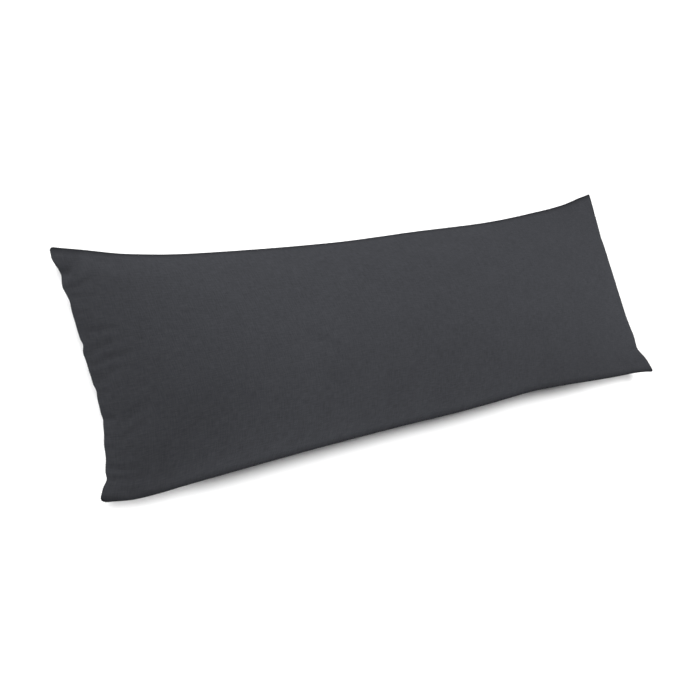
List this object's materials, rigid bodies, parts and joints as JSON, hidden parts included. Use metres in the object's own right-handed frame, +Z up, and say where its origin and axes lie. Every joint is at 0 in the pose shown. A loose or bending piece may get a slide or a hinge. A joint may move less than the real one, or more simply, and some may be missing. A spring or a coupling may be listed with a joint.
{
  "type": "lumbar pillow",
  "caption": "Long, soft rectangular pillow with a plain knife-edge seam, drawn-in sides and puckered ends, lying on its back. It supports the lower back or dresses a bed.",
  "frame": {"origin": "under the middle of the pillow's box, on the surface that it lies on", "axes": "+X along the pillow, to the picture's right; +Y across it, to the picture's upper edge; +Z up, out of its face"},
  "size_m": [0.9822, 0.3644, 0.1494],
  "materials": {
    "cover_cloth": "matt dark charcoal cloth with a fine linen-like weave"
  },
  "bodies": {
    "root": {"pillow": "cover_cloth"}
  },
  "joints": []
}
